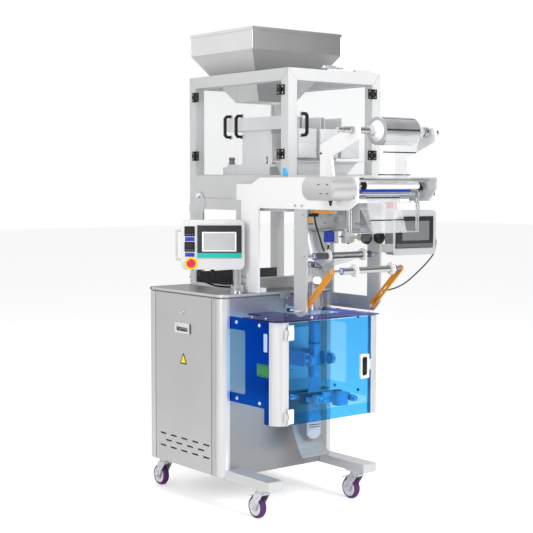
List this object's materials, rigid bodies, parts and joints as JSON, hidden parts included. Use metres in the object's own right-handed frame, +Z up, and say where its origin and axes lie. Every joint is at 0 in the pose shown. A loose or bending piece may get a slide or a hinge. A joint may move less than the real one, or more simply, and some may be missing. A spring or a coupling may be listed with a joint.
{
  "type": "granule packing machine",
  "caption": "Upright granule packing machine with hopper, glazed weigher, front film unit, forming tube, guarded sealing station, chute and cabinet on casters.",
  "frame": {"origin": "on the floor under the middle of the whole machine", "axes": "+X to the machine's right seen from the front, +Y to its back, +Z up"},
  "size_m": [1.1129, 1.3344, 2.175],
  "materials": {
    "cabinet_steel": "satin brushed stainless sheet",
    "lid_steel": "satin brushed stainless plate",
    "leg_steel": "satin brushed stainless tube",
    "zinc": "bright zinc plate",
    "caster_tread": "purple polyurethane tread on a pale hub",
    "white_paint": "white powder coat",
    "frame_paint": "pale grey powder coat",
    "clear_pane": "clear acrylic",
    "black_plastic": "matt black",
    "hopper_steel": "brushed stainless sheet",
    "weigher_steel": "satin stainless",
    "plate_alu": "satin plate",
    "polished": "polished steel",
    "blue_paint": "royal blue",
    "white_roller": "white nylon",
    "orange_paint": "orange anodised",
    "film": "silvery packing film",
    "film_clear": "thin clear film",
    "cover_steel": "brushed stainless cover",
    "violet_clear": "dark violet clear acrylic",
    "deep_blue_clear": "deep blue clear acrylic",
    "blue_clear": "light blue clear acrylic",
    "box_paint": "white powder coat",
    "side_box_paint": "grey paint",
    "screen_black": "gloss black bezel",
    "stop_red": "signal red",
    "cable_black": "matt black cable sheath",
    "jaw_metal": "dark machined steel"
  },
  "bodies": {
    "frame": {"cabinet_shell": "cabinet_steel", "cabinet_lid": "lid_steel", "legs": "leg_steel", "enclosure_frame": "frame_paint", "enclosure_panes": "clear_pane", "enclosure_hinges": "black_plastic", "hopper": "hopper_steel", "weigher": "weigher_steel", "discharge_funnel": "weigher_steel", "white_plates": "white_paint", "film_frame": "plate_alu", "cross_bars": "polished", "feed_bar": "blue_paint", "film_web": "film_clear", "motor_cover": "cover_steel", "forming_tube": "polished", "forming_collar": "polished", "sealing_back": "plate_alu", "guard_profiles": "leg_steel", "guard_sides": "deep_blue_clear", "guard_top": "violet_clear", "chute": "hopper_steel", "sensor_block": "blue_paint", "control_pole": "polished", "control_box": "box_paint", "screens": "screen_black", "side_screen_box": "side_box_paint", "side_screen_cable": "cable_black", "sensor_cable": "cable_black", "control_cable_a": "cable_black", "control_cable_b": "cable_black"},
    "side_panel": {"side_panel": "cabinet_steel"},
    "enclosure_door_front": {"enclosure_door_front": "clear_pane", "front_door_fittings": "black_plastic"},
    "enclosure_door_left_front": {"enclosure_door_left_front": "clear_pane", "left_front_fittings": "black_plastic"},
    "enclosure_door_left_rear": {"enclosure_door_left_rear": "clear_pane", "left_rear_fittings": "black_plastic"},
    "film_reel": {"film_shaft": "polished", "film_roll": "film", "roll_cones": "white_roller"},
    "pull_roller": {"pull_roller": "white_roller"},
    "hanging_dancer": {"hanging_dancer": "polished"},
    "guide_roller": {"guide_roller": "polished"},
    "dancer_arms": {"dancer_arms": "orange_paint", "dancer_shaft": "polished"},
    "dancer_roller": {"dancer_roller": "polished"},
    "front_jaw": {"front_jaw": "jaw_metal"},
    "rear_jaw": {"rear_jaw": "jaw_metal"},
    "guard_door": {"guard_door": "blue_clear", "guard_fittings": "white_roller"},
    "stop_button": {"stop_button": "stop_red"},
    "caster_fork_fl": {"caster_fork_fl": "zinc"},
    "caster_wheel_fl": {"caster_wheel_fl": "caster_tread"},
    "caster_fork_fr": {"caster_fork_fr": "zinc"},
    "caster_wheel_fr": {"caster_wheel_fr": "caster_tread"},
    "caster_fork_rl": {"caster_fork_rl": "zinc"},
    "caster_wheel_rl": {"caster_wheel_rl": "caster_tread"},
    "caster_fork_rr": {"caster_fork_rr": "zinc"},
    "caster_wheel_rr": {"caster_wheel_rr": "caster_tread"}
  },
  "joints": [
    {"name": "caster_swivel_fl", "type": "hinge", "parent": "frame", "child": "caster_fork_fl", "pos_m": [-0.41599, -0.18175, 0.12], "axis": [0, 0, 1], "continuous": true},
    {"name": "wheel_spin_fl", "type": "hinge", "parent": "caster_fork_fl", "child": "caster_wheel_fl", "pos_m": [-0.41599, -0.14475, 0.05], "axis": [1, 0, 0], "continuous": true},
    {"name": "caster_swivel_fr", "type": "hinge", "parent": "frame", "child": "caster_fork_fr", "pos_m": [0.13701, -0.18175, 0.12], "axis": [0, 0, 1], "continuous": true},
    {"name": "wheel_spin_fr", "type": "hinge", "parent": "caster_fork_fr", "child": "caster_wheel_fr", "pos_m": [0.13701, -0.14475, 0.05], "axis": [1, 0, 0], "continuous": true},
    {"name": "caster_swivel_rl", "type": "hinge", "parent": "frame", "child": "caster_fork_rl", "pos_m": [-0.41599, 0.58025, 0.12], "axis": [0, 0, 1], "continuous": true},
    {"name": "wheel_spin_rl", "type": "hinge", "parent": "caster_fork_rl", "child": "caster_wheel_rl", "pos_m": [-0.41599, 0.61725, 0.05], "axis": [1, 0, 0], "continuous": true},
    {"name": "caster_swivel_rr", "type": "hinge", "parent": "frame", "child": "caster_fork_rr", "pos_m": [0.13701, 0.58025, 0.12], "axis": [0, 0, 1], "continuous": true},
    {"name": "wheel_spin_rr", "type": "hinge", "parent": "caster_fork_rr", "child": "caster_wheel_rr", "pos_m": [0.13701, 0.61725, 0.05], "axis": [1, 0, 0], "continuous": true},
    {"name": "side_panel_pull", "type": "slide", "parent": "frame", "child": "side_panel", "axis": [-1, 0, 0], "range_m": [0, 0.2]},
    {"name": "front_door_hinge", "type": "hinge", "parent": "frame", "child": "enclosure_door_front", "pos_m": [0.24901, -0.15775, 1.7], "axis": [0, 0, 1], "range_deg": [0, 48]},
    {"name": "left_front_door_hinge", "type": "hinge", "parent": "frame", "child": "enclosure_door_left_front", "pos_m": [-0.25899, -0.10075, 1.7], "axis": [0, 0, 1], "range_deg": [0, 110]},
    {"name": "left_rear_door_hinge", "type": "hinge", "parent": "frame", "child": "enclosure_door_left_rear", "pos_m": [-0.25899, 0.55325, 1.7], "axis": [0, 0, -1], "range_deg": [0, 110]},
    {"name": "film_reel_spin", "type": "hinge", "parent": "frame", "child": "film_reel", "pos_m": [-0.02799, -0.60675, 1.682], "axis": [1, 0, 0], "continuous": true},
    {"name": "pull_roller_spin", "type": "hinge", "parent": "frame", "child": "pull_roller", "pos_m": [-0.06299, -0.56675, 1.455], "axis": [1, 0, 0], "continuous": true},
    {"name": "hanging_dancer_swing", "type": "hinge", "parent": "frame", "child": "hanging_dancer", "pos_m": [-0.06299, -0.56675, 1.422], "axis": [1, 0, 0], "range_deg": [-20, 20]},
    {"name": "guide_roller_spin", "type": "hinge", "parent": "frame", "child": "guide_roller", "pos_m": [-0.06299, -0.29675, 1.149], "axis": [1, 0, 0], "continuous": true},
    {"name": "dancer_swing", "type": "hinge", "parent": "frame", "child": "dancer_arms", "pos_m": [-0.06299, -0.27175, 0.912], "axis": [-1, 0, 0], "range_deg": [0, 24]},
    {"name": "dancer_roller_spin", "type": "hinge", "parent": "dancer_arms", "child": "dancer_roller", "pos_m": [-0.06299, -0.4568, 1.09321], "axis": [1, 0, 0], "continuous": true},
    {"name": "front_jaw_slide", "type": "slide", "parent": "frame", "child": "front_jaw", "axis": [0, 1, 0], "range_m": [0, 0.025]},
    {"name": "rear_jaw_slide", "type": "slide", "parent": "frame", "child": "rear_jaw", "axis": [0, -1, 0], "range_m": [0, 0.025]},
    {"name": "guard_door_hinge", "type": "hinge", "parent": "frame", "child": "guard_door", "pos_m": [-0.37299, -0.31375, 0.65], "axis": [0, 0, -1], "range_deg": [0, 110]},
    {"name": "stop_button_push", "type": "slide", "parent": "frame", "child": "stop_button", "axis": [0.6157, 0.788, 0], "range_m": [0, 0.005], "stiffness_N_per_m": 600}
  ],
  "couplings": [
    {"joint": "rear_jaw_slide", "follows": "front_jaw_slide", "ratio": 1}
  ]
}
